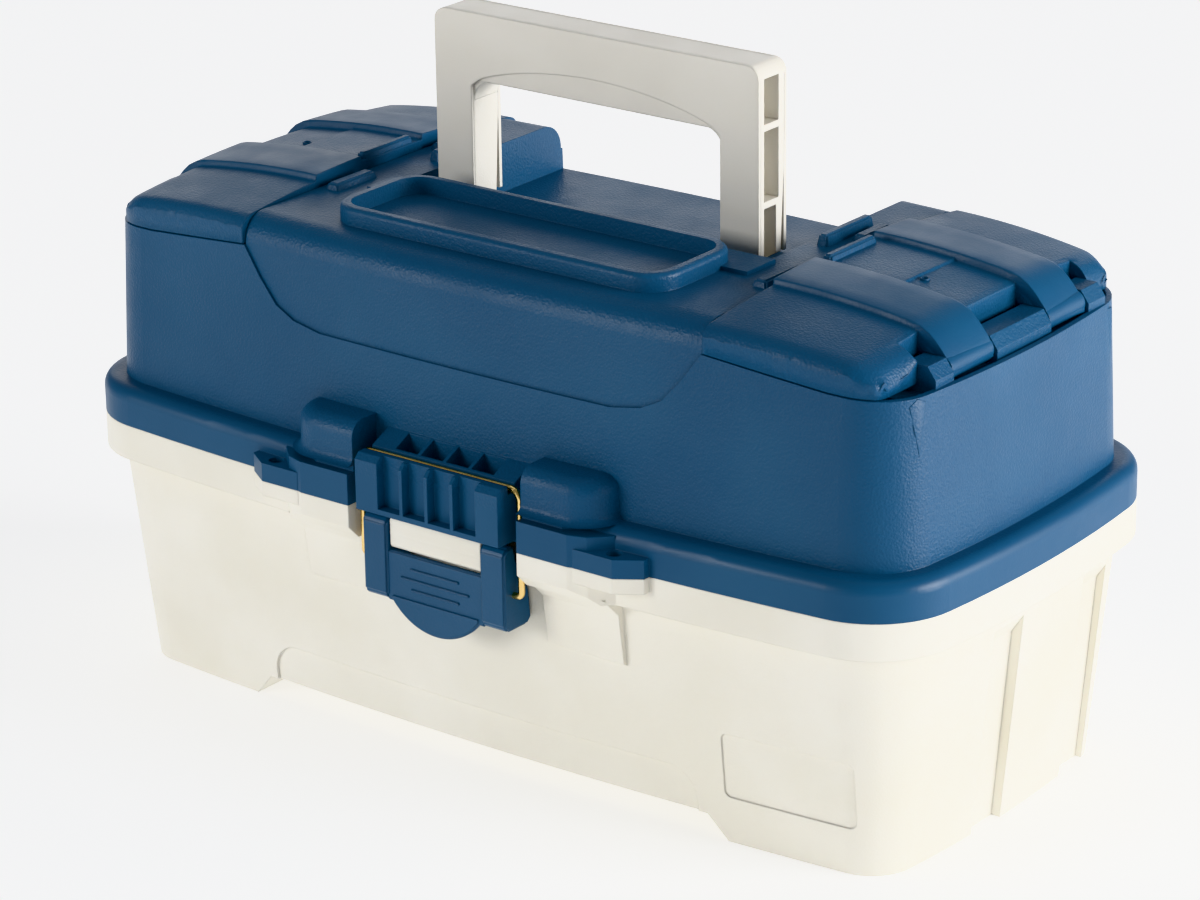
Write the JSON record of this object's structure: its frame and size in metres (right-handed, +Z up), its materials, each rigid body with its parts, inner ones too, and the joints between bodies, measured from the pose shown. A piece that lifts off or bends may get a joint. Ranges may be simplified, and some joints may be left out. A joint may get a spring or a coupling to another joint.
{
  "type": "fishing tackle box",
  "caption": "Moulded tackle box whose hinged lid lifts cantilever trays, with two covered top bins, a wire-bail latch and a folding handle.",
  "frame": {"origin": "middle of the standing face, under the centre of the box", "axes": "+X to the right along the length, +Y to the rear hinges, +Z up"},
  "size_m": [0.38, 0.206, 0.2557],
  "materials": {
    "cream_plastic": "fine grain",
    "blue_plastic": "leather grain",
    "handle_plastic": "satin",
    "tray_plastic": "satin",
    "brass": "polished wire",
    "steel": "zinc plated"
  },
  "bodies": {
    "base": {"base_tub": "cream_plastic", "hinge_pin_left": "steel", "hinge_pin_right": "steel", "latch_pin": "steel", "base_rivets": "steel"},
    "lid": {"lid_shell": "blue_plastic", "lid_rivets": "steel"},
    "left_cover": {"left_cover": "blue_plastic"},
    "right_cover": {"right_cover": "blue_plastic"},
    "handle": {"handle": "handle_plastic"},
    "latch_lever": {"latch_lever": "blue_plastic"},
    "bail": {"bail_wire": "brass"},
    "lower_tray": {"lower_tray": "tray_plastic", "lower_tray_dividers": "tray_plastic", "lower_tray_rivets": "steel"},
    "upper_tray": {"upper_tray": "tray_plastic", "upper_tray_dividers": "tray_plastic", "upper_tray_rivets": "steel"},
    "front_arm_left": {"front_arm_left": "steel"},
    "front_arm_right": {"front_arm_right": "steel"},
    "rear_arm_left": {"rear_arm_left": "steel"},
    "rear_arm_right": {"rear_arm_right": "steel"},
    "lid_link_left": {"lid_link_left": "steel"},
    "lid_link_right": {"lid_link_right": "steel"}
  },
  "joints": [
    {"name": "lid_hinge", "type": "hinge", "parent": "base", "child": "lid", "pos_m": [0, 0.0985, 0.103], "axis": [-1, 0, 0], "range_deg": [0, 95]},
    {"name": "front_arm_left_pivot", "type": "hinge", "parent": "base", "child": "front_arm_left", "pos_m": [0, -0.002, 0.086], "axis": [-1, 0, 0], "range_deg": [0, 95]},
    {"name": "rear_arm_left_pivot", "type": "hinge", "parent": "base", "child": "rear_arm_left", "pos_m": [0, 0.055, 0.086], "axis": [-1, 0, 0], "range_deg": [0, 95]},
    {"name": "lid_link_left_pivot", "type": "hinge", "parent": "rear_arm_left", "child": "lid_link_left", "pos_m": [0, -0.00624, 0.0957], "axis": [-1, 0, 0], "range_deg": [-95, 0]},
    {"name": "front_arm_right_pivot", "type": "hinge", "parent": "base", "child": "front_arm_right", "pos_m": [0, -0.002, 0.086], "axis": [-1, 0, 0], "range_deg": [0, 95]},
    {"name": "rear_arm_right_pivot", "type": "hinge", "parent": "base", "child": "rear_arm_right", "pos_m": [0, 0.055, 0.086], "axis": [-1, 0, 0], "range_deg": [0, 95]},
    {"name": "lid_link_right_pivot", "type": "hinge", "parent": "rear_arm_right", "child": "lid_link_right", "pos_m": [0, -0.00624, 0.0957], "axis": [-1, 0, 0], "range_deg": [-95, 0]},
    {"name": "lower_tray_pivot", "type": "hinge", "parent": "front_arm_right", "child": "lower_tray", "pos_m": [0, -0.03558, 0.09132], "axis": [-1, 0, 0], "range_deg": [-95, 0]},
    {"name": "upper_tray_pivot", "type": "hinge", "parent": "front_arm_right", "child": "upper_tray", "pos_m": [0, -0.06324, 0.0957], "axis": [-1, 0, 0], "range_deg": [-95, 0]},
    {"name": "latch_lever_pivot", "type": "hinge", "parent": "base", "child": "latch_lever", "pos_m": [0, -0.0966, 0.093], "axis": [-1, 0, 0], "range_deg": [0, 100]},
    {"name": "bail_pivot", "type": "hinge", "parent": "latch_lever", "child": "bail", "pos_m": [0, -0.0949, 0.0808], "axis": [-1, 0, 0], "range_deg": [-72, 0]},
    {"name": "handle_pivot", "type": "hinge", "parent": "lid", "child": "handle", "pos_m": [0, 0.003, 0.18], "axis": [-1, 0, 0], "range_deg": [0, 90]},
    {"name": "right_cover_hinge", "type": "hinge", "parent": "lid", "child": "right_cover", "pos_m": [0.17, 0, 0.1765], "axis": [0, 1, 0], "range_deg": [0, 110]},
    {"name": "left_cover_hinge", "type": "hinge", "parent": "lid", "child": "left_cover", "pos_m": [-0.17, 0, 0.1765], "axis": [0, -1, 0], "range_deg": [0, 110]}
  ],
  "couplings": [
    {"joint": "front_arm_left_pivot", "follows": "lid_hinge", "ratio": 1},
    {"joint": "rear_arm_left_pivot", "follows": "lid_hinge", "ratio": 1},
    {"joint": "lid_link_left_pivot", "follows": "lid_hinge", "ratio": -1},
    {"joint": "front_arm_right_pivot", "follows": "lid_hinge", "ratio": 1},
    {"joint": "rear_arm_right_pivot", "follows": "lid_hinge", "ratio": 1},
    {"joint": "lid_link_right_pivot", "follows": "lid_hinge", "ratio": -1},
    {"joint": "lower_tray_pivot", "follows": "lid_hinge", "ratio": -1},
    {"joint": "upper_tray_pivot", "follows": "lid_hinge", "ratio": -1},
    {"joint": "bail_pivot", "follows": "latch_lever_pivot", "ratio": -0.72}
  ]
}
